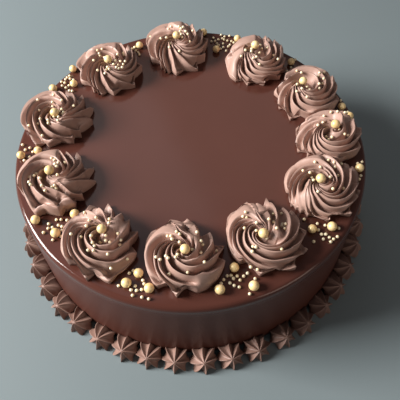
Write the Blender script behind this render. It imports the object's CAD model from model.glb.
"""Dressed model of a round chocolate truffle cake.

A dark mirror glaze over the whole body, eleven piped chocolate cream rosettes in a ring
on top, a ring of small piped stars round the foot, and gold sugar pearls in two sizes.
Metres, +Z up, the front of the cake faces -Y.
"""

import math
import random

import bmesh
import bpy
from mathutils import Matrix, Vector, noise
from mathutils.bvhtree import BVHTree


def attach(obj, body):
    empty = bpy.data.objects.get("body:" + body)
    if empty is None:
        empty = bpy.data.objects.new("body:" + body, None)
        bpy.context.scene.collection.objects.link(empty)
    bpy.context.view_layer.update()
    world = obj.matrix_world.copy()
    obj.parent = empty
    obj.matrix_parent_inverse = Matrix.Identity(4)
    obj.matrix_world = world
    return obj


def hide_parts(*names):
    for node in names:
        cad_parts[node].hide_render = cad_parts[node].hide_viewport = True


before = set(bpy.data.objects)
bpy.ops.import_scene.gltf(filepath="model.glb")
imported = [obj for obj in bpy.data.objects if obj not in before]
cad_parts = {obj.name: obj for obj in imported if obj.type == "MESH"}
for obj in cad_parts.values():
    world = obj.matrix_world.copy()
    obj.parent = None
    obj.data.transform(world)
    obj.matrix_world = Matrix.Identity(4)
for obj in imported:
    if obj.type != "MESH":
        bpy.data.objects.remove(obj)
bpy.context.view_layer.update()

MM = 0.001
TAU = 2.0 * math.pi

# ---------------------------------------------------------------- sizes

HEIGHT = 77.5 * MM
RIM_RADIUS = 122.5 * MM
FOOT_RADIUS = 124.0 * MM
RIM_ROUND = 3.5 * MM
GAP = 0.3 * MM             # least space between a big pearl on the glaze and a rosette

# Unevenness of the glaze: the rim dips and the wall waves a little above the foot.
EVEN_FOOT = 6.0 * MM
RIM_DIP = 0.25 * MM
RIM_DIP_SCALE = 38.0
WALL_WAVE = 0.22 * MM
WALL_WAVE_SCALE = 30.0
WALL_WAVE_SHIFT = Vector((5, 0, 0))
RIM_START = (112.0 * MM, 66.0 * MM)   # where the dips begin: distance from the middle, height
RIM_FADE = (7.0 * MM, 6.0 * MM)
NOISE_SEED = 5

# Rosettes: angle round the cake, distance from the middle (mm), radius (mm), direction
# of the open side where the ridges fan out, angle and distance (mm) of the hub.
ROSETTES = (
    (267.7, 89.5, 24.3, 50, 268.1, 92.0),
    (301.5, 89.6, 25.0, 50, 297.4, 93.6),
    (334.1, 95.0, 23.8, 215, 331.3, 93.4),
    (0.2, 96.4, 22.8, 165, 359.9, 98.0),
    (26.9, 97.2, 23.8, 185, 27.2, 92.3),
    (57.1, 94.8, 23.9, 200, 58.3, 94.8),
    (95.7, 95.2, 26.0, 260, 96.1, 93.2),
    (130.7, 95.7, 25.2, 250, 131.5, 90.7),
    (166.1, 97.2, 24.9, 15, 170.7, 95.0),
    (200.6, 94.8, 25.3, 10, 201.0, 96.1),
    (234.9, 96.0, 24.3, 50, 236.5, 94.1),
)
ROSETTE_HEIGHT = 16.5 * MM
SIGHT_HEIGHT = 0.6 * ROSETTE_HEIGHT   # where a pixel of a rosette is first taken to lie
# Profile from the outline to the crown, on the closed and on the open side.
CROWN_EDGE = (6.5, 2.6)    # height of the outline, in mm
CROWN_POWER = (3.0, 1.8)
CROWN_ROOT = (0.42, 0.75)
HUB_SHARE = 0.30           # size of the dimple at the hub, in radii
HUB_DIP = 1.8 * MM
NOTCH = 0.10               # how far the outline is cut in between two tips, in radii
GROOVE = 8.5 * MM
GROOVE_SHARE = 1.8         # depth of a narrow groove as a share of its width
GROOVE_FOOT = 0.66         # where a groove is deepest between one ridge and the next
FLOW = 0.275               # how fast a ridge runs inward, in radii for each radian
FLOW_SWING = 0.18          # how much faster on the open side
COLUMNS = 12               # columns of the mesh between two ridges
RINGS = 72
RUN = 400                  # degrees over which a ridge is followed
LONGEST = 340              # degrees over which a column of the mesh may turn
SMOOTHING = 3              # degrees on each side that smooth a crest
INNERMOST = 0.03           # how near to the hub a crest gets, in radii
HUB_STOP = 0.07            # where the mesh columns end, in radii
RIDGE_CLEAR = 0.045        # space kept between two crests, in radii
LEAST_ROOM = 0.25          # least width that a groove is taken to have at the outline
# Between tips farther apart than WIDE_GAP degrees the cream is smooth, and the groove
# begins RUN_UP degrees before the next tip and deepens over RUN_IN degrees.
WIDE_GAP = 46.0
WIDE_FADE = 20.0
RUN_UP = 8.0
RUN_IN = 26.0
ROSETTE_SINK = 0.2 * MM    # how far a rosette reaches into the glaze
CLEAR = 0.6 * MM           # where a rosette is pressed back, before the plane between two
PRESS = 0.9                # share of what lies beyond that is pressed back
WOBBLE = 0.22 * MM         # unevenness of the cream
WOBBLE_SCALE = 160.0

# The crest of each ridge of each rosette, clockwise from the smooth side, as pixels of the
# photo from the tip inward.
RIDGES = (
    (((170, 219.5), (174, 224), (180, 229.5), (186, 233.5), (190, 236)),
     ((187, 218.5), (193, 223), (196, 229), (196.5, 236), (197, 242), (195.5, 248), (192, 253),
      (188, 257.5)),
     ((210, 232), (212.5, 236), (212.5, 241), (210, 246), (206, 251), (201, 255), (193, 258.5),
      (184, 259.5), (178, 257)),
     ((224.5, 246), (217, 253.5), (208, 261), (200, 264.5), (191, 266), (182, 263), (175, 257),
      (171.5, 250), (173, 243)),
     ((225.5, 260.5), (221, 267), (212, 272), (203, 272), (194, 275.5), (186, 275), (177, 271.5),
      (169, 263), (166.5, 253), (171, 243)),
     ((198, 289), (193, 286), (184, 284.5), (174, 281), (166, 276), (160, 268), (158, 257),
      (160.5, 247), (170, 240.5)),
     ((176.5, 294.5), (170, 287), (161.5, 278), (156, 269), (154.5, 260), (154.7, 250),
      (160.5, 242), (170, 239)),
     ((157, 285), (150, 275.5), (146, 265), (145.4, 254), (149, 243), (156, 236), (164, 232.5),
      (173, 233.6), (183, 238.5))),
    (((247, 201.5), (253, 208.5), (258, 213), (261, 219), (261, 225)),
     ((257, 203), (263, 206.5), (268, 212), (270, 218), (268.5, 224)),
     ((266, 197.5), (272, 203), (276, 209.5), (277.5, 216), (275.5, 222), (271.5, 226)),
     ((283, 207), (288, 212.5), (290.5, 219), (290.5, 227), (288.5, 234), (284.5, 240),
      (278, 244)),
     ((291, 209.5), (296, 212), (299, 219), (299, 227), (296.5, 233.5), (291, 239), (284, 243.5),
      (276, 247), (268, 247.5), (262, 245.5)),
     ((306.5, 230.5), (303.5, 238), (296, 245), (289, 249), (281, 250.8), (272, 251),
      (264, 248.5), (256, 244), (250, 237), (248.5, 231), (251, 226)),
     ((308, 249), (302, 254.5), (295, 257), (286, 259), (277, 260.3), (268, 259.5), (260, 256),
      (252, 250), (246, 243), (244.5, 235), (247, 227), (251, 224)),
     ((296.5, 266.5), (289, 269), (278, 269), (268, 267.5), (260, 264.5), (252, 260), (245, 253),
      (239.5, 245), (237.3, 236), (238.5, 229), (243, 223.5), (249, 221.5)),
     ((261, 273.3), (255, 270), (249, 266), (243, 260), (237.5, 252.5), (233, 243), (232.3, 235),
      (234, 227), (239, 221), (245, 218.5), (251, 218.5), (256, 222)),
     ((240, 259), (234, 252.5), (230, 245), (228.6, 238), (229, 231), (232, 223), (237, 217),
      (243, 214), (250, 213.5), (256, 216), (260, 221))),
    (((322, 154.5), (329, 156), (335, 160), (340, 165), (342.7, 171), (343, 178), (341.5, 184),
      (338, 190), (333, 194)),
     ((344, 159), (349, 165), (351.3, 172), (350.8, 180), (348, 187), (342, 193), (334, 196)),
     ((352.5, 166), (357.5, 172), (358.8, 179), (356.5, 187), (352, 193), (346, 197.5),
      (338, 199.3), (330, 198.5), (324, 195)),
     ((360.5, 190), (358, 196.5), (353, 202.5), (346, 206), (337, 207.3), (329, 206),
      (322.5, 201.5), (318.5, 196)),
     ((352, 213), (344, 214.3), (335, 214.5), (326, 212.8), (318.5, 209), (314.5, 203),
      (313, 196)),
     ((330, 219.5), (320, 218.8), (313.5, 215.5), (310.5, 209), (309.7, 202), (311.5, 196)),
     ((308, 214.5), (306, 206), (305, 197), (306, 190), (309, 184), (311, 179)),
     ((301, 210.5), (299, 202), (298, 193), (298.5, 184), (301, 178), (306, 173), (313, 170.5)),
     ((296, 207.5), (293, 199), (291.8, 191), (293.5, 183), (298, 176), (304, 171), (312, 168.5),
      (320, 168.5)),
     ((291, 205), (288.7, 197), (288.8, 188), (290.5, 179), (296, 171), (303, 165.5),
      (311, 163.5), (319, 164), (326, 168.5), (331, 174), (334, 180)),
     ((287, 188), (284.3, 180), (287, 173), (294, 165), (302, 160), (311, 158.3), (320, 159.5),
      (328, 164), (334, 171.5), (337, 180))),
    (((344, 110.5), (349.5, 115), (353.5, 120.5), (355, 127), (353, 133), (348.5, 137.5),
      (342, 140.5), (335, 142), (328, 140.5), (323, 137)),
     ((361.5, 127.5), (360, 135), (355, 140), (349, 144), (342, 146), (334, 146), (327, 143.5),
      (321, 139), (319, 136)),
     ((361, 147), (354, 150), (346, 152), (338, 152.5), (330, 151.5), (323, 148), (318.5, 143),
      (317, 138)),
     ((340, 158), (331, 156.5), (323, 153.5), (317, 148.5), (314, 143), (314.5, 138)),
     ((316, 157.5), (311.5, 150), (309, 143.5), (310, 137.5), (314, 133)),
     ((308, 154), (303.8, 147.5), (302.7, 141), (305, 135), (310, 129), (316, 126.7),
      (320, 128.5)),
     ((298, 150), (295.5, 143), (297, 136), (301, 130), (307, 124), (313.5, 120.5), (319, 120.8),
      (323, 126)),
     ((296, 128), (301, 124), (307, 120.5), (313, 117), (320, 115.5), (325, 118), (327, 124)),
     ((306.5, 119), (309, 113.5), (316, 111.5), (325, 110.5), (334, 110.5), (340, 112.5),
      (342.5, 117), (341.5, 121))),
    (((321, 68.5), (328, 72.5), (332, 79), (333, 84.5), (330, 89.5), (325, 93), (318, 95.8),
      (311, 96.2), (305, 93.5), (302.5, 90)),
     ((337, 84), (338, 89.5), (334, 94), (328, 98), (321, 100.5), (314, 100.5), (307, 98),
      (302.5, 94), (301.5, 91)),
     ((339, 98.5), (332, 102), (324, 105.5), (316, 106.5), (308, 105), (302, 102), (298.5, 97),
      (298.5, 93)),
     ((312, 115.5), (306, 112), (299, 108), (293.5, 102), (292, 96), (294, 91), (297, 88)),
     ((290.5, 118), (287, 113), (285, 106), (284.5, 100), (286, 94), (289, 90), (294, 87),
      (298, 85.5)),
     ((279, 107), (277.5, 101), (278.5, 96), (281, 91), (285, 86), (291, 82), (297, 80.5)),
     ((274, 92), (277.5, 87), (283, 82), (289, 77), (296, 73), (303, 71), (309, 71.2),
      (314.5, 74), (318, 79), (318, 85), (314.5, 89), (309, 90)),
     ((285, 76), (288, 71.5), (294, 68), (302, 65.5), (309, 65.5), (316, 68.5), (322, 73.5),
      (325.5, 79), (324.8, 85.5), (320, 90.3), (313, 92.8), (306, 91.3))),
    (((259, 35.5), (265.5, 40), (270, 46), (271.3, 51.5), (269.5, 56), (266, 59), (262, 58.5),
      (260, 56)),
     ((268, 37), (274, 43), (277.5, 49), (277.5, 54), (274, 58.5), (268.5, 60.8), (262.5, 61),
      (258.5, 58.5)),
     ((276, 41), (280.5, 47), (281.7, 53), (279.5, 58.5), (275, 62.5), (269, 65.2), (262.5, 65.3),
      (257.5, 63)),
     ((286, 57), (283, 63), (277, 66.5), (269, 68), (261, 67), (256, 64), (254, 60)),
     ((286.5, 66.5), (280, 70), (271, 71.5), (262, 71), (255, 68.5), (251, 64.5), (250.5, 60.5)),
     ((281, 74.5), (272, 74.5), (262, 75.5), (254, 74.5), (249, 71), (246, 66), (246.5, 61),
      (249, 58.5)),
     ((265, 82.3), (257, 80.5), (249, 78), (243, 73.5), (240, 67.5), (240.5, 61.5), (243, 57.5),
      (248, 55.5)),
     ((248, 83), (242.5, 79), (239, 73.5), (238, 67), (238.8, 61), (241.5, 57)),
     ((235.5, 80), (236.5, 73), (236, 66.5), (237, 60.5), (240, 56), (246, 53.5), (252, 53.5)),
     ((225, 60), (230, 57.5), (235, 53), (240, 49.8), (246, 48.5), (251, 50)),
     ((229.5, 53), (234, 48), (240, 44.8), (247, 43.5), (252, 44))),
    (((187, 23.5), (193, 27), (195.5, 32), (194.5, 37.5), (191, 42), (185.5, 44.5), (180.5, 43.5)),
     ((200, 28.5), (202.3, 34), (201.5, 39.5), (198, 44), (192, 47.3), (186, 47.3), (180.5, 45)),
     ((208, 38), (205.5, 42.5), (200, 47.5), (194, 50.2), (188, 50.5), (182, 48.8), (178.5, 45)),
     ((205.5, 53), (200, 54.8), (193, 55.5), (187, 54.3), (182, 51.5), (178.5, 47.5)),
     ((198, 68.5), (192, 66), (187, 61.5), (182, 56), (177.5, 52.5), (174.5, 48), (172.5, 43),
      (171.5, 39)),
     ((176.8, 73), (175, 66), (173.5, 59), (171.5, 52), (170, 46), (169.5, 41)),
     ((167.5, 72), (164.7, 64.5), (163, 57), (163.3, 50), (165, 44.5), (167.5, 41)),
     ((164, 69.5), (161.5, 61), (159.7, 54), (160, 47), (162.5, 42)),
     ((160.5, 62), (157, 56), (155.5, 50), (155.8, 44), (158.5, 39), (163, 36), (169, 34)),
     ((151.5, 57), (148.5, 52), (147.3, 46), (148.5, 39.5), (152.5, 34), (158, 31), (164, 29.5),
      (170, 30)),
     ((146, 42), (148, 36), (153, 31), (159, 26.5), (166, 24), (173, 24.2), (180, 27),
      (185.5, 31), (188.5, 36), (186.5, 40.5), (182, 42.5))),
    (((120, 43.5), (123, 46), (126, 51), (125.8, 57), (122.5, 62), (118, 65.5)),
     ((128, 44), (131.5, 49), (132.5, 55), (130.5, 61), (126.5, 64.5)),
     ((135, 51), (136, 57), (135, 63), (131, 68), (125, 71), (118.5, 71.5), (113, 69), (109, 66)),
     ((142, 65.5), (137, 69), (132, 72.5), (126.5, 75), (120, 74), (114.5, 71.5), (109.5, 68)),
     ((135, 84), (128, 82.5), (121, 81), (115, 77.5), (110, 74), (106, 71.5)),
     ((114, 93.5), (110, 89), (107, 83), (104, 77), (101.5, 72), (101, 67)),
     ((101, 93.5), (97.5, 88), (95.5, 82), (94.5, 76), (95.5, 70.5), (98.5, 65.5), (101, 62.5)),
     ((97, 91), (93, 84), (91, 78), (90.5, 71), (92, 65), (95, 62)),
     ((93, 88), (90, 84.5), (88, 79), (87, 72.5), (88.3, 66.5), (91, 62), (95, 59), (100, 56.5)),
     ((80.5, 80.5), (80.3, 73), (82, 67), (85, 61), (90, 56.5), (96, 53), (101, 50.5),
      (107, 50.5), (112, 52.5), (114.5, 57), (115, 60.5)),
     ((76.5, 66), (78, 60), (84, 54), (91, 49.5), (99, 46.3), (107, 45.3), (113, 47), (117.5, 51),
      (119, 55.5), (118, 60), (116, 62.5))),
    (((59, 91), (64, 94), (67, 99), (66.5, 104), (63, 108)),
     ((66, 90), (72, 93), (74.5, 98), (73.5, 103), (69, 108), (65, 110)),
     ((82.3, 94.5), (82, 100), (78, 105), (72, 110), (66, 112.5)),
     ((93.5, 108), (88, 107.5), (82, 110), (76, 113), (70, 116), (63, 117)),
     ((92.5, 119.5), (86, 117.3), (78, 117.8), (69, 118.7), (61, 120)),
     ((80, 130.5), (72, 129.5), (64, 126), (57, 123), (51, 120.5)),
     ((72.5, 137.5), (65, 138), (57, 135), (50, 131), (44, 126), (40.5, 120), (40, 114),
      (43, 109), (48, 106.5)),
     ((47.5, 143.5), (42, 138), (37.5, 131), (34, 123), (32.7, 117), (34, 111), (38, 105.5),
      (44, 102), (51, 101)),
     ((35.3, 144), (31, 138), (28, 131), (26, 124), (25.5, 118), (27, 111), (30, 105), (35, 100),
      (41, 97), (47, 96)),
     ((21.5, 124), (22, 115), (26, 105.5), (33, 98), (41, 93), (49, 91.5), (56, 94), (60.5, 98),
      (62.5, 103.5), (61, 107.5))),
    (((60, 151), (63, 155), (66.5, 160), (67.5, 165), (65, 170)),
     ((66, 151.5), (70, 155), (73.5, 159), (74, 164), (71, 168), (64.5, 175)),
     ((77, 152), (80.5, 157), (80, 163), (76, 168), (70, 173), (65, 176.5)),
     ((94, 167), (88, 168.5), (83, 172.5), (78, 176), (71, 178)),
     ((96, 180.5), (88, 179.5), (80, 179.5), (72, 180.5), (68, 181)),
     ((82.5, 194), (74, 193.5), (68, 190.5), (64, 186), (61.5, 180), (61, 176)),
     ((75, 203.5), (72, 198), (66, 194), (58.5, 191), (52, 188), (45, 186), (40, 180),
      (37.5, 175), (39.5, 171), (43, 168.5)),
     ((61, 213.5), (58, 207), (52.5, 201.5), (46, 198), (40, 193.5), (34.5, 188), (31, 181.5),
      (30.5, 175.5), (33, 170.5), (39, 166), (46, 164.5)),
     ((36, 213), (32, 207), (29, 201), (25.5, 196), (23, 190), (21.5, 183), (22.5, 175),
      (26, 168), (31, 163), (38, 160), (45, 159.5), (52, 161.5)),
     ((17.5, 186), (18, 178), (21, 171.5), (26, 166), (31, 160), (38, 156), (46, 155), (53, 156),
      (58.5, 160), (61.8, 165.5), (62, 171))),
    (((89.5, 205), (96, 206.5), (101, 209.5), (104, 214), (105.3, 219.5)),
     ((108, 203.5), (111.5, 208), (111.5, 213), (110, 218)),
     ((121, 213), (116, 216.5), (111, 219.5), (107.5, 223)),
     ((129.3, 218.5), (127, 225.5), (123, 230.5), (119, 235.5), (115, 240), (110, 243.5),
      (104, 244.7), (98, 244.8), (94, 242)),
     ((138, 231), (132, 237), (125, 242), (119, 247), (113, 250.3), (105, 251), (97, 249.5),
      (91, 246), (87, 241), (85, 235), (86.5, 230)),
     ((137, 253), (131, 252), (127, 255), (123, 259.5), (117, 262), (109, 262.5), (101, 261),
      (92, 258.5), (85, 255), (80.5, 249), (78, 241), (78.5, 234), (81.5, 229), (86, 227)),
     ((109, 281), (104, 275.5), (98, 270.5), (91, 266.5), (84, 262), (77.5, 255.5), (73, 247.5),
      (71, 240), (72, 233), (75.5, 228), (81, 225.5), (86, 226)),
     ((85, 278), (80, 269), (75, 262), (71, 255), (68, 248), (66.7, 240), (68, 233), (71, 227),
      (76, 223), (82, 221.7), (87, 222.5), (91, 226)),
     ((65, 258), (63, 249), (62.5, 240), (63.5, 232), (66.5, 226.5), (71, 221), (77, 217),
      (83, 216), (88, 218), (91, 222), (93.5, 225)),
     ((63.5, 227), (69, 219.5), (76, 214), (83, 210.8), (88, 210.5), (93, 212.5), (97, 217.5),
      (100, 223))),
)

# The outline on the smooth side, from the last ridge round to the first one, in pixels.
RIMS = (
    ((145, 262), (144.7, 250), (147, 239), (151, 232), (158, 228), (165, 225.5)),
    ((232, 251.5), (228, 243), (227, 234), (226.3, 226), (227.5, 218), (231.5, 212.5),
     (238, 209), (243, 203.5)),
    ((284, 180), (286, 173), (292, 166), (300, 160), (308, 156.5), (315, 155)),
    ((307, 115), (311, 112.5), (318, 111), (326, 110)),
    ((286, 73), (289, 69), (294.5, 67.5), (303, 65)),
    ((232, 47), (237, 41), (243, 37), (250, 35.5), (257, 35.5)),
    ((144.8, 42), (147, 35.5), (152, 30), (158, 26), (166, 23.5), (175, 23)),
    ((76, 64), (80, 56), (87, 50.5), (95, 46.5), (104, 44), (112, 43)),
    ((20.5, 117), (23, 108), (28, 101), (35, 95.5), (43, 91.5), (51, 90)),
    ((17, 178), (20, 170), (25, 163), (31, 157.5), (38, 153.5), (45, 150.5), (52, 149.5)),
    ((66, 221.5), (71, 217), (77, 213), (83, 210), (87, 207)),
)

# Places where the ridges are smeared into smooth cream: rosette, pixel and reach (mm).
SMEARS = (
    (1, (192, 241), 3.5), (1, (205, 284), 4.5), (2, (276, 238), 5.0), (3, (302, 200), 7.0),
    (9, (62, 128), 3.0), (10, (68, 186), 3.0), (11, (118, 227), 6.5),
)

# Camera, and the frame of the photo in pixels.
PICTURE = 400.0
CAMERA_PLACE = (0.00608, -0.22473, 0.35159)
CAMERA_PITCH = 0.9954
CAMERA_ROLL = -0.0176
CAMERA_FOCUS = 498.708

# Foot stars.
STAR_COUNT = 43
STAR_FIRST = 273.2
STAR_BLADES = 8
STAR_RADIUS = 10.8 * MM
STAR_LENGTH = 11.2 * MM
STAR_TILT = math.radians(35.0)
STAR_RING = 128.2 * MM
STAR_JITTER = 0.6          # unevenness of the spacing, in degrees
STAR_BELLY = 0.22          # where a star is widest, as a share of its length
STAR_NECK = 0.88           # its width at the foot, as a share of the widest
STAR_LIFT = 1.2 * MM
STAR_VALLEY = (0.20, 0.46)  # depth of the valleys at the foot, and what the tip adds
# One blade's cross-section: place between this crest and the next, depth of the valley.
STAR_FLANK = ((0.0, 0.0), (0.035, 0.12), (0.10, 0.42), (0.28, 0.82), (0.50, 1.0),
              (0.72, 0.82), (0.90, 0.42), (0.965, 0.12))

# Pearls. Big ones on the glaze, one group for each space between rosettes: angle round
# the cake and distance from its middle (mm).
BIG_PEARL = 3.0 * MM
SMALL_PEARL = 1.05 * MM
# How far pearls are sunk: the one by a hub, small ones on cream, big and small on glaze.
HUB_SINK = 0.8 * MM
SMALL_SINK = 0.2 * MM
BIG_GLAZE_SINK = 0.3 * MM
SMALL_GLAZE_SINK = 0.1 * MM
SCATTER = (2.0, 13.0)      # nearest and farthest from the middle of a group, in mm
BACK_STEP = 0.1 * MM       # step by which a pearl is backed off the cream
NUDGE = 0.25 * MM          # step by which a big pearl is moved off a rosette
MOST_NUDGES = 40
MOST_TRIES = 1500          # draws for the small pearls of one group
ABOVE = 0.2                # a height well above the cake
GLAZE_PEARLS = (
    ((252.6, 104.3), (250.2, 112.3), (257.8, 110.7)),
    ((278.6, 112.0), (286.3, 99.0), (288.6, 114.9)),
    ((316.0, 103.3), (321.6, 112.8)),
    ((347.6, 116.8),),
    ((16.1, 114.8), (10.6, 117.4)),
    ((45.2, 112.3),),
    ((84.4, 117.8), (77.5, 98.5), (70.2, 115.3)),
    ((111.8, 110.3),),
    ((139.8, 117.8), (152.2, 118.0), (145.9, 107.2)),
    ((184.4, 117.6), (182.8, 106.3)),
    ((215.7, 93.0), (211.9, 116.2), (220.1, 110.5)),
)
SMALL_IN_GAP = (12, 14, 13, 7, 4, 4, 20, 6, 13, 8, 12)

# The big pearl by the hub of each rosette, as a pixel of the photo.
HUB_PEARLS = (
    (185.0, 248.9), (263.5, 233.2), (320.7, 178.3), (335.6, 124.0), (303.2, 80.8),
    (255.2, 44.8), (176.4, 35.2), (108.0, 59.2), (54.4, 112.4), (49.2, 170.0), (101.6, 228.8),
)

# Small pearls on each rosette, as pixels of the photo.
ROSETTE_PEARLS = (
    ((176.5, 231.5), (179.5, 234), (167.5, 236), (171, 236), (172, 239), (179.5, 242),
     (192.3, 249.5), (197, 232), (201, 241), (202.7, 244.5), (201, 252.5),
     (216.5, 251), (204.5, 262), (187.7, 272.5), (169, 274), (160, 259.5), (156, 257), (166, 256),
     (168, 258), (177.5, 254.5), (175.5, 257)),
    ((245.5, 212), (243, 216.5), (246.5, 217.5), (256.5, 222.5), (244.5, 228), (256.3, 230.5),
     (266.7, 238), (253, 246.5), (256, 247), (252.3, 251.5), (250.7, 267), (257.5, 269.5),
     (281.7, 249), (276.7, 228), (273.5, 222), (269, 219), (273, 214),
     (281.3, 213.5), (282.5, 224), (285.5, 224), (282, 226), (284.5, 228.5)),
    ((315, 162), (328.5, 160), (334, 162.3), (341.5, 164), (320.3, 167), (335, 167), (303, 170.5),
     (310, 172.5), (330, 177), (338, 175.5), (312, 177.5), (313.5, 180), (333, 188.7),
     (343.5, 188.5), (318, 191.5)),
    ((331, 112), (337.5, 111.5), (324, 116), (345, 112.5), (323, 122.5), (318, 125), (339, 129),
     (344.7, 134), (348, 135.2), (326, 136.7), (332, 137), (328.5, 139.7)),
    ((296.9, 70.8), (301.4, 72.5), (319.5, 72.7), (324.1, 72.7), (318.3, 76), (323.8, 78.5),
     (319.2, 83.7), (322.3, 83.7), (319.3, 88.2), (307, 86.6), (309.5, 89.5), (302, 88.4),
     (297.2, 84.1), (296.8, 91.3), (307, 96.8)),
    ((260.3, 45.2), (261.7, 48.5), (267.4, 47.5), (259.7, 52.7), (251.3, 51.2), (245.5, 50),
     (241.3, 56.1), (255, 54.5), (256.6, 56.7), (253.3, 57.9), (259.5, 64.3), (273.5, 55.2),
     (278.1, 59), (251.7, 48.8)),
    ((171, 26.5), (168.2, 29), (150.6, 36.6), (160.8, 38.3), (166.4, 37.5), (170.2, 43.7),
     (169.3, 47.2), (179.1, 26.5), (181.1, 28.5), (183.1, 27), (180.1, 31), (181.3, 34.5),
     (185.7, 31.3), (187.8, 34), (192.7, 30.7), (189.7, 41.5), (182, 37), (179.5, 51)),
    ((97.6, 50.2), (102.1, 49), (99.2, 53.5), (100.1, 55.5), (93.7, 60.2), (104.6, 57.5),
     (117.6, 54.3), (123, 53.2), (123.7, 55), (115.3, 60.5), (113.7, 64.2), (116.3, 67.2),
     (118.2, 65), (118.7, 68.2), (122.2, 67.3), (123.3, 64.2), (125.2, 61.2), (120.5, 61.2),
     (107.5, 67), (106.2, 69.8), (97.7, 70.2), (105, 73.3), (109.2, 69)),
    ((37.8, 99.7), (52.5, 102), (52.7, 106.5), (39, 110.2), (61.6, 100), (73.8, 105.8),
     (61.7, 109), (63.5, 112.2), (62.5, 114), (59, 111), (54, 116.5), (58.5, 116.8),
     (57.8, 120.2), (48, 120), (48.3, 123), (40.1, 118.7), (37.7, 123.7), (28.8, 125.5),
     (42.2, 135.5), (53.5, 95)),
    ((51.5, 158.2), (54.5, 160), (58.2, 162.5), (65, 162.7), (55, 164), (56.8, 166.2),
     (57.5, 174.7), (36.2, 173.8), (33.8, 175.7), (29.6, 177.2), (39.6, 178), (29, 182),
     (30.5, 184.5), (41.7, 185.5), (45, 190.5), (52, 187), (54.5, 185.3), (56.3, 188.5)),
    ((84.5, 212.5), (96.1, 217.5), (89.3, 220.2), (86.3, 225.8), (109.5, 219), (108.8, 222.8),
     (71, 234), (80.8, 236.8), (91, 235.7), (105.8, 235.3), (118, 233.5), (120.8, 240),
     (92.5, 242.5), (100, 242.5), (105.8, 240.7), (109.7, 242), (94.5, 246), (93.5, 250.5),
     (88.1, 250.2), (119.8, 244.5), (107.7, 254.2), (127.2, 259), (111, 268.3)),
)


# Colours, darker and lighter of each.
GLAZE = ((0.065, 0.0218, 0.0152), (0.074, 0.0252, 0.0180))
ROSETTE_CREAM = ((0.345, 0.208, 0.165), (0.410, 0.262, 0.212))
STAR_CREAM = ((0.205, 0.118, 0.091), (0.265, 0.158, 0.126))
GOLD = ((0.76, 0.52, 0.22), (0.88, 0.69, 0.38))
PALE_GOLD = ((0.84, 0.68, 0.42), (0.94, 0.84, 0.62))
FLOOR = (0.150, 0.182, 0.190, 1.0)


def polar(angle_deg, radius):
    a = math.radians(angle_deg)
    return Vector((radius * math.cos(a), radius * math.sin(a), 0.0))


def mix(a, b, t):
    return a + (b - a) * t


def ease(t):
    t = max(0.0, min(1.0, t))
    return t * t * (3.0 - 2.0 * t)


def camera_axes():
    """Right, up and forward directions of the camera."""
    ahead = Vector((0.0, math.cos(CAMERA_PITCH), -math.sin(CAMERA_PITCH)))
    level = Vector((1.0, 0.0, 0.0))
    above = Vector((0.0, math.sin(CAMERA_PITCH), math.cos(CAMERA_PITCH)))
    right = level * math.cos(CAMERA_ROLL) + above * math.sin(CAMERA_ROLL)
    up = above * math.cos(CAMERA_ROLL) - level * math.sin(CAMERA_ROLL)
    return right, up, ahead


def seen(pixel, z):
    """The point at height z that the photo shows at a pixel."""
    right, up, ahead = camera_axes()
    across = (pixel[0] - PICTURE / 2.0) / CAMERA_FOCUS
    down = (pixel[1] - PICTURE / 2.0) / CAMERA_FOCUS
    ray = ahead + right * across - up * down
    place = Vector(CAMERA_PLACE)
    return place + ray * ((z - place.z) / ray.z)


# ---------------------------------------------------------------- materials

def shader(name):
    mat = bpy.data.materials.new(name)
    mat.use_nodes = True
    tree = mat.node_tree
    return mat, tree, tree.nodes["Principled BSDF"]


def node(tree, kind, **values):
    made = tree.nodes.new(kind)
    for key, value in values.items():
        if hasattr(made, key):
            setattr(made, key, value)
        else:
            made.inputs[key.replace("_", " ")].default_value = value
    return made


def pattern(tree, kind, **values):
    """Texture node that reads Object coordinates."""
    place = tree.nodes.get("place") or node(tree, "ShaderNodeTexCoord", name="place")
    made = node(tree, kind, **values)
    tree.links.new(place.outputs["Object"], made.inputs["Vector"])
    return made


def ramp(tree, source, stops):
    made = tree.nodes.new("ShaderNodeValToRGB")
    elements = made.color_ramp.elements
    while len(elements) < len(stops):
        elements.new(0.5)
    for element, (position, colour) in zip(elements, stops):
        element.position = position
        element.color = colour if len(colour) == 4 else (*colour, 1.0)
    tree.links.new(source, made.inputs["Fac"])
    return made.outputs["Color"]


def grey(value):
    return (value, value, value, 1.0)


def bump(tree, source, strength, distance):
    made = tree.nodes.new("ShaderNodeBump")
    made.inputs["Strength"].default_value = strength
    made.inputs["Distance"].default_value = distance
    tree.links.new(source, made.inputs["Height"])
    return made.outputs["Normal"]


def glaze_finish():
    mat, tree, body = shader("mirror_glaze")
    cloud = pattern(tree, "ShaderNodeTexNoise", Scale=14.0, Detail=3.0)
    colour = ramp(tree, cloud.outputs["Fac"], ((0.30, GLAZE[0]), (0.70, GLAZE[1])))
    tree.links.new(colour, body.inputs["Base Color"])
    split = pattern(tree, "ShaderNodeSeparateXYZ")
    rough = ramp(tree, split.outputs["Z"], (
        (0.0, grey(0.46)), (0.066, grey(0.36)), (0.076, grey(0.14))))
    tree.links.new(rough, body.inputs["Roughness"])
    shine = ramp(tree, split.outputs["Z"], ((0.071, grey(0.11)), (0.0765, grey(0.38))))
    tree.links.new(shine, body.inputs["Specular IOR Level"])
    wave = pattern(tree, "ShaderNodeTexNoise", Scale=28.0, Detail=2.0)
    body.inputs["Specular Tint"].default_value = (1.0, 0.90, 0.88, 1.0)
    tree.links.new(bump(tree, wave.outputs["Fac"], 0.25, 0.0006), body.inputs["Normal"])
    return mat


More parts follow.
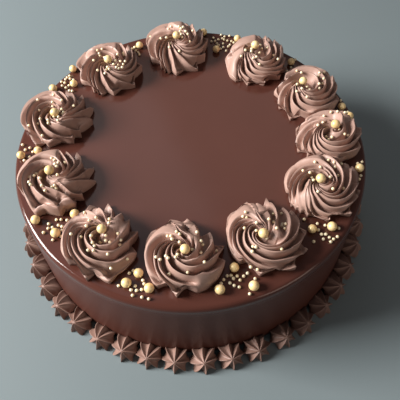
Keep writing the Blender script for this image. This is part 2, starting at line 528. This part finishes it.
def cream_finish(name, dark, light):
    mat, tree, body = shader(name)
    cloud = pattern(tree, "ShaderNodeTexNoise", Scale=90.0, Detail=5.0, Roughness=0.6)
    colour = ramp(tree, cloud.outputs["Fac"], ((0.30, dark), (0.72, light)))
    tree.links.new(colour, body.inputs["Base Color"])
    body.inputs["Roughness"].default_value = 0.46
    body.inputs["Specular IOR Level"].default_value = 0.42
    grain = pattern(tree, "ShaderNodeTexNoise", Scale=900.0, Detail=3.0)
    tree.links.new(bump(tree, grain.outputs["Fac"], 0.22, 0.0002), body.inputs["Normal"])
    return mat


def pearl_finish(name, dark, light):
    mat, tree, body = shader(name)
    cloud = pattern(tree, "ShaderNodeTexNoise", Scale=160.0, Detail=2.0)
    colour = ramp(tree, cloud.outputs["Fac"], ((0.30, dark), (0.75, light)))
    tree.links.new(colour, body.inputs["Base Color"])
    body.inputs["Metallic"].default_value = 0.12
    body.inputs["Roughness"].default_value = 0.34
    grain = pattern(tree, "ShaderNodeTexNoise", Scale=2400.0, Detail=1.0)
    tree.links.new(bump(tree, grain.outputs["Fac"], 0.12, 0.0001), body.inputs["Normal"])
    return mat


# ---------------------------------------------------------------- meshes

def piece(name, bm, finish, slot, *nodes):
    """Finished object from a bmesh, riding on the cake's one body."""
    mesh = bpy.data.meshes.new(name)
    bm.to_mesh(mesh)
    bm.free()
    mesh.shade_smooth()
    mesh.materials.append(finish)
    obj = bpy.data.objects.new(name, mesh)
    bpy.context.scene.collection.objects.link(obj)
    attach(obj, "root")
    if nodes:
        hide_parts(*nodes)
    return obj


def skin(bm, rows):
    """Closed shell through rows of points: a grid rolled round and closed at both ends."""
    wide = len(rows[0])
    made = bmesh.ops.create_grid(bm, x_segments=wide, y_segments=len(rows) - 1, size=1.0)
    verts = sorted(made["verts"], key=lambda v: v.index)
    for place, row in enumerate(rows):
        for i in range(wide + 1):
            verts[place * (wide + 1) + i].co = row[i % wide]
    fresh = [v for v in made["verts"] if v.is_valid]
    bmesh.ops.remove_doubles(bm, verts=fresh, dist=0.002 * MM)


def wall_radius(z):
    share = max(0.0, min(1.0, z / (HEIGHT - RIM_ROUND)))
    return mix(FOOT_RADIUS, RIM_RADIUS, share)


def build_glaze(finish):
    """Glazed body: a lathe-turned profile with a softly uneven rim."""
    bm = bmesh.new()
    outline = [(0.0, HEIGHT)]
    for i in range(1, 12):
        outline.append(((RIM_RADIUS - RIM_ROUND) * (i / 12.0) ** 0.8, HEIGHT))
    for i in range(13):
        a = 0.5 * math.pi * (1.0 - i / 12.0)
        outline.append((RIM_RADIUS - RIM_ROUND + RIM_ROUND * math.cos(a),
                        HEIGHT - RIM_ROUND + RIM_ROUND * math.sin(a)))
    for i in range(1, 25):
        z = (HEIGHT - RIM_ROUND) * (1.0 - i / 25.0)
        outline.append((wall_radius(z), z))
    outline += [(FOOT_RADIUS, 0.8 * MM), (FOOT_RADIUS - 0.8 * MM, 0.0), (0.0, 0.0)]
    verts = [bm.verts.new((x, 0.0, z)) for x, z in outline]
    edges = [bm.edges.new(pair) for pair in zip(verts, verts[1:])]
    bmesh.ops.spin(bm, geom=verts + edges, cent=(0, 0, 0), axis=(0, 0, 1), angle=TAU,
                   steps=288, use_merge=True)
    bmesh.ops.remove_doubles(bm, verts=bm.verts, dist=0.01 * MM)
    bmesh.ops.recalc_face_normals(bm, faces=bm.faces)
    for v in bm.verts:
        if v.co.z < EVEN_FOOT:
            continue
        out = math.hypot(v.co.x, v.co.y)
        rim = ease((out - RIM_START[0]) / RIM_FADE[0])
        rim *= ease((v.co.z - RIM_START[1]) / RIM_FADE[1])
        v.co.z += RIM_DIP * rim * noise.noise(v.co * RIM_DIP_SCALE)
        side = Vector((v.co.x, v.co.y, 0.0)).normalized()
        wave = noise.noise(v.co * WALL_WAVE_SCALE + WALL_WAVE_SHIFT)
        v.co += side * (WALL_WAVE * wave * ease(out / FOOT_RADIUS))
    return piece("glaze", bm, finish, "glaze", "cake")


# ---------------------------------------------------------------- rosettes

def neighbour_planes(index):
    """Upright planes that keep a rosette off its neighbours: (direction, distance)."""
    angle, ring, radius = ROSETTES[index][:3]
    centre = polar(angle, ring * MM)
    planes = []
    for other, row in enumerate(ROSETTES):
        offset = polar(row[0], row[1] * MM) - centre
        if other != index and offset.length < (radius + row[2]) * 1.08 * MM:
            planes.append((offset.normalized(), offset.length * radius / (radius + row[2])))
    return planes


def inward(angle, share, open_side):
    """How fast a ridge runs towards the hub at a place on the rosette."""
    swing = FLOW + FLOW_SWING * math.cos(angle - open_side)
    return swing * min(1.0, 0.35 + 0.65 * share / 0.45)


def crown(angle, share, open_side):
    """Height of the crown at a place on the rosette."""
    openness = 0.5 + 0.5 * math.cos(angle - open_side)
    edge = mix(*CROWN_EDGE, openness) * MM
    power = mix(*CROWN_POWER, openness)
    root = mix(*CROWN_ROOT, openness)
    x = max(0.0, (share - HUB_SHARE) / (1.0 - HUB_SHARE))
    z = edge + (ROSETTE_HEIGHT - edge) * max(0.0, 1.0 - x ** power) ** root
    if share < HUB_SHARE:
        z -= HUB_DIP * (1.0 - (share / HUB_SHARE) ** 2)
    return z


def on_rosette(pixel, index):
    """Direction and share of the radius where the photo shows a point of a rosette."""
    angle, ring, radius, opening, hub_angle, hub_ring = ROSETTES[index]
    radius *= MM
    centre = polar(angle, ring * MM)
    hub = polar(hub_angle, hub_ring * MM) - centre
    wide = radius ** 2 - hub.length_squared
    z = SIGHT_HEIGHT
    for _ in range(10):
        place = seen(pixel, HEIGHT + z) - centre - hub
        place.z = 0.0
        along = place.dot(hub)
        share = (along + math.sqrt(along ** 2 + wide * place.length_squared)) / wide
        out = place + hub * share
        turn = math.atan2(out.y, out.x)
        z = mix(z, crown(turn, min(share, 1.0), math.radians(opening)), 0.5)
    return turn, share


def ridge_run(pixels, index):
    """Tip direction of a ridge and its share of the radius at each degree it turns."""
    open_side = math.radians(ROSETTES[index][3])
    spots = [on_rosette(pixel, index) for pixel in pixels]
    tip, share = spots[0]
    turned = [(0.0, share)]
    for angle, q in spots[1:]:
        turn = math.degrees((tip - angle) % TAU)
        if turn > 350.0 or turn < turned[-1][0] + 0.5:
            turn = turned[-1][0] + 0.5
        turned.append((turn, min(q, turned[-1][1] - 0.002)))
    run = []
    at = 0
    for degree in range(RUN):
        while at < len(turned) - 2 and turned[at + 1][0] < degree:
            at += 1
        (t0, q0), (t1, q1) = turned[at], turned[at + 1]
        if degree <= t1:
            share = mix(q0, q1, (degree - t0) / (t1 - t0))
        else:
            share -= inward(tip - math.radians(degree), share, open_side) * math.radians(1.0)
        run.append(max(share, INNERMOST))
    smooth = list(run)
    for i in range(SMOOTHING, RUN - SMOOTHING):
        smooth[i] = sum(run[i - SMOOTHING:i + SMOOTHING + 1]) / (2 * SMOOTHING + 1)
    return math.degrees(tip), smooth


def ridge_runs(index):
    """All ridges of a rosette clockwise, each kept inside the next one."""
    runs = [ridge_run(pixels, index) for pixels in RIDGES[index]]
    count = len(runs)
    for _ in range(2):
        for k in range(count):
            tip, run = runs[k]
            after, outer = runs[(k + 1) % count]
            gap = int(round((tip - after) % 360.0))
            for degree in range(gap, RUN):
                limit = outer[min(degree - gap, RUN - 1)]
                near = min(1.0, 0.25 + (degree - gap) / 20.0)
                clear = min(RIDGE_CLEAR, 0.25 * limit) * near
                run[degree] = min(run[degree], limit - clear)
    return runs


def rim_share(index, tip, own, after, gap):
    """Share of the radius at the outline for each degree from one tip to the next."""
    notch = NOTCH * min(1.0, gap / 30.0) * (1.0 - ease((gap - 50.0) / 20.0))
    rim = [mix(own[0], after, min(1.0, i / gap)) - notch * groove_shape(min(1.0, i / gap))
           for i in range(int(gap) + 2)]
    if gap > 48.0:
        marks = [(0.0, own[0])]
        for pixel in RIMS[index]:
            angle, share = on_rosette(pixel, index)
            turn = (tip - math.degrees(angle)) % 360.0
            if marks[-1][0] + 1.0 < turn < gap - 1.0:
                marks.append((turn, share))
        marks.append((gap + 2.0, after))
        for i in range(len(rim)):
            at = next(k for k in range(1, len(marks)) if marks[k][0] >= min(i, gap + 1.0))
            (t0, q0), (t1, q1) = marks[at - 1], marks[at]
            rim[i] = mix(q0, q1, (min(i, gap + 1.0) - t0) / (t1 - t0))
    return [max(share, own[min(i, RUN - 1)] + 0.004 * min(i, 4)) for i, share in enumerate(rim)]


def sample(run, degree):
    low = min(max(int(degree), 0), RUN - 2)
    return mix(run[low], run[low + 1], min(max(degree - low, 0.0), 1.0))


def rosette_columns(index):
    """Lines of the mesh from outline to hub, each with how smooth its gap is.

    A line's points: (angle, share of the radius, place across the groove, room between
    the two crests, how far the groove has begun).
    """
    runs = ridge_runs(index)
    columns = []
    for k, (tip, run) in enumerate(runs):
        after, outer = runs[(k + 1) % len(runs)]
        gap = (tip - after) % 360.0
        wide = ease((gap - WIDE_GAP) / WIDE_FADE)
        rim = rim_share(index, tip, run, outer[0], gap)
        drop = []
        for i, edge in enumerate(rim):
            least = drop[-1] + 0.0005 if drop else 0.0
            drop.append(max(1.0 - run[i] / edge, least, 0.0008 * i))
        full = sample(drop + [drop[-1]] * (RUN - len(drop)), gap)
        count = COLUMNS + int(max(0.0, gap - 45.0) / 5.0)
        for j in range(count):
            even = gap * j / count
            level = (1.0 - j / count) * full
            back = next((i for i, d in enumerate(drop) if d >= level), len(drop) - 1)
            turn = mix(even, max(0.0, gap - back), 0.4) if j else 0.0
            place = 1.0 - sample(drop + [full] * RUN, gap - turn) / full if j else 0.0
            line = []
            degree = turn
            while len(line) < LONGEST:
                own = sample(run, degree)
                if degree < gap:
                    edge = sample(rim + [rim[-1]] * RUN, degree)
                    lead = 1.0
                    if j:
                        behind = sample(drop, min(degree, len(drop) - 2.0)) if degree > 0 else 0.0
                        lead = sample(drop, min(degree - turn, len(drop) - 2.0)) / max(behind, 1e-6)
                    share = own + (edge - own) * (1.0 - min(1.0, lead))
                    begun = (degree - turn) / max(gap - turn, 1e-6)
                    room = max(edge - own, LEAST_ROOM)
                else:
                    other = sample(outer, degree - gap)
                    share = mix(own, other, place)
                    begun = 1.0
                    room = other - own
                across = mix(j / count, place, ease(begun))
                line.append((math.radians(tip - degree), share, across, room,
                             ease((degree - gap + RUN_UP) / RUN_IN)))
                if share < HUB_STOP:
                    break
                degree += 1.0
            columns.append((line, wide))
    return columns


def groove_shape(between):
    """Depth of a groove across its width: a broad outer flank, then a steep inner one."""
    if between < GROOVE_FOOT:
        return (between / GROOVE_FOOT) ** 1.15
    return ((1.0 - between) / (1.0 - GROOVE_FOOT)) ** 0.75


def rosette_rows(index):
    angle, ring, radius, opening, hub_angle, hub_ring = ROSETTES[index]
    radius *= MM
    open_side = math.radians(opening)
    centre = polar(angle, ring * MM)
    hub = polar(hub_angle, hub_ring * MM) - centre
    seed = Vector((37.0 * index, 11.0, 5.0))
    smears = [(seen(pixel, HEIGHT + SIGHT_HEIGHT) - centre, reach * MM)
              for owner, pixel, reach in SMEARS if owner == index + 1]
    grid = []
    for line, wide in rosette_columns(index):
        flat = []
        for a, q, across, room, begun in line:
            flat.append(hub * (1.0 - q) + Vector((math.cos(a), math.sin(a), 0.0)) * (radius * q))
        length = [0.0]
        for p, r in zip(flat, flat[1:]):
            length.append(length[-1] + (p - r).length)
        column = []
        at = 0
        for k in range(RINGS + 1):
            want = length[-1] * (k / RINGS) ** 1.1
            while at < len(line) - 2 and length[at + 1] < want:
                at += 1
            t = (want - length[at]) / max(1e-9, length[at + 1] - length[at])
            a, q, across, room, begun = (mix(u, v, t) for u, v in zip(line[at], line[at + 1]))
            run = (line[at][1] - line[at + 1][1]) / math.radians(1.0)
            level = min(q, 1.0)
            z = crown(a, level, open_side)
            slope = (z - crown(a, level - 0.02, open_side)) / 0.02
            out = Vector((math.cos(a), math.sin(a), 0.0))
            normal = (out * -slope + Vector((0.0, 0.0, radius))).normalized()
            narrow = q / math.hypot(q, run)
            depth = min(GROOVE, GROOVE_SHARE * room * narrow * radius)
            depth *= groove_shape(across) * (1.0 - wide * (1.0 - begun))
            point = hub * (1.0 - q) + out * (radius * q) + Vector((0.0, 0.0, z))
            for middle, reach in smears:
                away = math.hypot(point.x - middle.x, point.y - middle.y) / reach
                depth *= 1.0 - 0.9 * math.exp(-away ** 4)
            point -= (normal + Vector((0.0, 0.0, 1.0))) * (0.5 * depth)
            point.z = max(point.z, 0.3 * MM)
            column.append(point)
        grid.append(column)
    rows = [[Vector((0.0, 0.0, -ROSETTE_SINK))] * len(grid)]
    for lift, out in ((0.0, 0.0), (0.3, 0.25), (0.65, 0.6)):
        row = []
        for column in grid:
            side = Vector((column[0].x, column[0].y, 0.0))
            place = (side * 0.985).lerp(side, out)
            place.z = mix(-ROSETTE_SINK, column[0].z, lift)
            row.append(place)
        rows.append(row)
    for k in range(RINGS + 1):
        rows.append([column[k] for column in grid])
    last = sum((column[-1] for column in grid), Vector()) / len(grid)
    rows.append([last] * len(grid))
    planes = neighbour_planes(index)
    for row in rows:
        for i, point in enumerate(row):
            point = point.copy()
            for direction, limit in planes:
                beyond = point.dot(direction) - (limit - CLEAR)
                if beyond > 0.0:
                    point -= direction * beyond * PRESS
            point += noise.noise_vector(point * WOBBLE_SCALE + seed) * WOBBLE
            row[i] = centre + point + Vector((0.0, 0.0, HEIGHT))
    return rows


def build_rosette(index, finish):
    bm = bmesh.new()
    skin(bm, rosette_rows(index))
    bmesh.ops.recalc_face_normals(bm, faces=bm.faces)
    name = "rosette_%02d" % (index + 1)
    return piece("cream_" + name, bm, finish, "cream", name)


# ---------------------------------------------------------------- foot stars

def star_angles():
    rng = random.Random(41)
    step = 360.0 / STAR_COUNT
    return [STAR_FIRST + step * i + rng.uniform(-STAR_JITTER, STAR_JITTER)
            for i in range(STAR_COUNT)]


def star_rows(size, before, after, twist):
    """Rows of a star in its own frame: x outward, y along the foot, z up."""
    wide = STAR_BLADES * len(STAR_FLANK)
    stations = 22
    rows = []
    for k in range(stations + 1):
        along = k / stations
        if along < STAR_BELLY:
            bulge = math.sin(0.5 * math.pi * along / STAR_BELLY)
            swell = STAR_NECK + (1.0 - STAR_NECK) * bulge
        else:
            t = (along - STAR_BELLY) / (1.0 - STAR_BELLY)
            swell = (1.0 - t ** 2.1) ** 0.72
        row = []
        for i in range(wide):
            blade, step = divmod(i, len(STAR_FLANK))
            between, groove = STAR_FLANK[step]
            turn = TAU * (blade + between) / STAR_BLADES + twist * (along - 0.3)
            valley = (STAR_VALLEY[0] + STAR_VALLEY[1] * along) * groove
            out = STAR_RADIUS * size * swell * (1.0 - valley)
            axis = STAR_LENGTH * size * along
            x = axis * math.sin(STAR_TILT) + out * math.cos(turn) * math.cos(STAR_TILT)
            z = axis * math.cos(STAR_TILT) - out * math.cos(turn) * math.sin(STAR_TILT)
            row.append(Vector((STAR_RING + x, out * math.sin(turn), z + STAR_LIFT)))
        rows.append(row)
    for row in rows:
        for point in row:
            point.z = max(point.z, 0.05 * MM)
            wall = wall_radius(point.z) + 0.05 * MM
            if math.hypot(point.x, point.y) < wall:
                point.x = math.sqrt(wall * wall - point.y * point.y)
            point.y = max(point.y, 0.1 * MM - point.x * math.tan(before))
            point.y = min(point.y, point.x * math.tan(after) - 0.1 * MM)
    foot = Vector((STAR_RING, 0.0, 0.0))
    flat = [Vector((p.x, p.y, 0.0)) for p in rows[0]]
    return [[foot] * wide, flat] + rows


def build_stars(finish):
    bm = bmesh.new()
    angles = star_angles()
    for index, angle in enumerate(angles):
        rng = random.Random(500 + index)
        size = rng.uniform(0.96, 1.03)
        before = math.radians(0.5 * ((angle - angles[index - 1]) % 360.0))
        after = math.radians(0.5 * ((angles[(index + 1) % STAR_COUNT] - angle) % 360.0))
        turn = Matrix.Rotation(math.radians(angle), 3, "Z")
        rows = star_rows(size, before, after, rng.uniform(-0.1, 0.35))
        skin(bm, [[turn @ p for p in row] for row in rows])
    bmesh.ops.recalc_face_normals(bm, faces=bm.faces)
    names = ["foot_star_%02d" % (i + 1) for i in range(STAR_COUNT)]
    return piece("cream_foot_stars", bm, finish, "cream", *names)


# ---------------------------------------------------------------- pearls

def surface(obj):
    bm = bmesh.new()
    bm.from_mesh(obj.data)
    tree = BVHTree.FromBMesh(bm)
    bm.free()
    return tree


def resting(tree, x, y, radius, sink):
    """Centre of a ball sunk by sink into the surface under (x, y)."""
    hit, normal, _, _ = tree.ray_cast(Vector((x, y, ABOVE)), Vector((0.0, 0.0, -1.0)))
    return hit + normal * (radius - sink)


def off_rosettes(point, clear):
    for angle, ring, radius, *_ in ROSETTES:
        centre = polar(angle, ring * MM)
        if (Vector((point.x, point.y, 0.0)) - centre).length < radius * MM * 1.04 + clear:
            return False
    return True


def sighted(tree, pixel, radius, sink):
    """Centre of a ball sunk by sink into the surface that the photo shows at a pixel."""
    eye = Vector(CAMERA_PLACE)
    ray = (seen(pixel, HEIGHT) - eye).normalized()
    place, _, _, _ = tree.ray_cast(eye, ray)
    while tree.find_nearest(place)[3] < radius - sink:
        place -= ray * BACK_STEP
    return place


def rosette_pearls(creams):
    """The big pearl by the hub of each rosette and the small ones scattered over it."""
    big, small = [], []
    for index, cream in enumerate(creams):
        tree = surface(cream)
        big.append(sighted(tree, HUB_PEARLS[index], BIG_PEARL, HUB_SINK))
        small += [sighted(tree, pixel, SMALL_PEARL, SMALL_SINK)
                  for pixel in ROSETTE_PEARLS[index]]
    return big, small


def glaze_pearls(tree):
    """Pearls that lie on the glaze between the rosettes."""
    rng = random.Random(7)
    big, small = [], []
    flat = RIM_RADIUS - RIM_ROUND
    for group, count in zip(GLAZE_PEARLS, SMALL_IN_GAP):
        spots = []
        for angle, ring in group:
            point = polar(angle, ring * MM)
            shift = 0
            while not off_rosettes(point, BIG_PEARL + GAP) and shift < MOST_NUDGES:
                nearest = min((polar(r[0], r[1] * MM) for r in ROSETTES),
                              key=lambda c: (c - point).length)
                point += (point - nearest).normalized() * NUDGE
                shift += 1
            spots.append(resting(tree, point.x, point.y, BIG_PEARL, BIG_GLAZE_SINK))
        big += spots
        placed = [(p, BIG_PEARL) for p in spots]
        middle = sum(spots, Vector()) / len(spots)
        made = 0
        tries = 0
        while made < count and tries < MOST_TRIES:
            tries += 1
            spot = middle + polar(rng.uniform(0.0, 360.0), rng.uniform(*SCATTER) * MM)
            if math.hypot(spot.x, spot.y) > flat or not off_rosettes(spot, SMALL_PEARL):
                continue
            point = resting(tree, spot.x, spot.y, SMALL_PEARL, SMALL_GLAZE_SINK)
            if all((point - p).length > r + SMALL_PEARL + 0.1 * MM for p, r in placed):
                placed.append((point, SMALL_PEARL))
                small.append(point)
                made += 1
    return big, small


def build_pearls(name, centres, radius, detail, finish):
    bm = bmesh.new()
    rng = random.Random(len(centres))
    for centre in centres:
        size = radius * rng.uniform(0.94, 1.05)
        place = Matrix.Translation(centre)
        bmesh.ops.create_icosphere(bm, subdivisions=detail, radius=size, matrix=place)
    return piece(name, bm, finish, "pearl")


# ---------------------------------------------------------------- stage

def build_stage():
    bm = bmesh.new()
    bmesh.ops.create_grid(bm, x_segments=2, y_segments=2, size=1.5)
    mesh = bpy.data.meshes.new("floor")
    bm.to_mesh(mesh)
    bm.free()
    floor = bpy.data.objects.new("floor", mesh)
    bpy.context.scene.collection.objects.link(floor)
    mat, _, body = shader("pale_floor")
    body.inputs["Base Color"].default_value = FLOOR
    body.inputs["Roughness"].default_value = 0.8
    mesh.materials.append(mat)


def window(name, place, aim, size, power, colour):
    lamp = bpy.data.lights.new(name, "AREA")
    lamp.shape = "RECTANGLE"
    lamp.size, lamp.size_y = size
    lamp.energy = power
    lamp.color = colour
    obj = bpy.data.objects.new(name, lamp)
    bpy.context.scene.collection.objects.link(obj)
    obj.location = place
    obj.rotation_euler = (Vector(aim) - Vector(place)).to_track_quat("-Z", "Y").to_euler()


def build_light():
    window("window", (-1.41, -0.06, 0.88), (0, 0, 0.05), (0.7, 0.7), 77.0, (1.0, 0.99, 0.97))
    window("ceiling", (0.0, 1.09, 1.38), (0, 0, 0.08), (1.0, 0.7), 1.9, (1.0, 0.80, 0.72))
    window("skylight", (-0.45, 0.72, 1.45), (0, 0, 0.08), (1.0, 0.8), 1.5, (0.80, 0.90, 1.0))
    window("fill", (1.10, -1.00, 0.60), (0, 0, 0.03), (0.8, 0.6), 4.0, (1.0, 0.86, 0.74))
    world = bpy.data.worlds.new("room")
    bpy.context.scene.world = world
    world.use_nodes = True
    sky = world.node_tree.nodes["Background"]
    sky.inputs["Color"].default_value = (0.97, 0.97, 1.0, 1.0)
    sky.inputs["Strength"].default_value = 0.12
    bpy.context.scene.view_settings.view_transform = "Standard"


def build_camera():
    right, up, ahead = camera_axes()
    data = bpy.data.cameras.new("camera")
    data.sensor_width = 36.0
    data.lens = CAMERA_FOCUS / PICTURE * data.sensor_width
    camera = bpy.data.objects.new("camera", data)
    bpy.context.scene.collection.objects.link(camera)
    turn = Matrix((right, up, -ahead)).transposed().to_4x4()
    camera.matrix_world = Matrix.Translation(CAMERA_PLACE) @ turn
    bpy.context.scene.camera = camera


def main():
    noise.seed_set(NOISE_SEED)
    glaze = glaze_finish()
    cream = cream_finish("rosette_cream", *ROSETTE_CREAM)
    star_cream = cream_finish("star_cream", *STAR_CREAM)
    big_pearl = pearl_finish("gold_pearl", *GOLD)
    small_pearl = pearl_finish("pale_pearl", *PALE_GOLD)
    body = build_glaze(glaze)
    creams = [build_rosette(index, cream) for index in range(len(ROSETTES))]
    build_stars(star_cream)
    big, small = rosette_pearls(creams)
    big_glaze, small_glaze = glaze_pearls(surface(body))
    build_pearls("big_pearls", big + big_glaze, BIG_PEARL, 3, big_pearl)
    build_pearls("small_pearls", small + small_glaze, SMALL_PEARL, 2, small_pearl)
    build_stage()
    build_light()
    build_camera()


main()
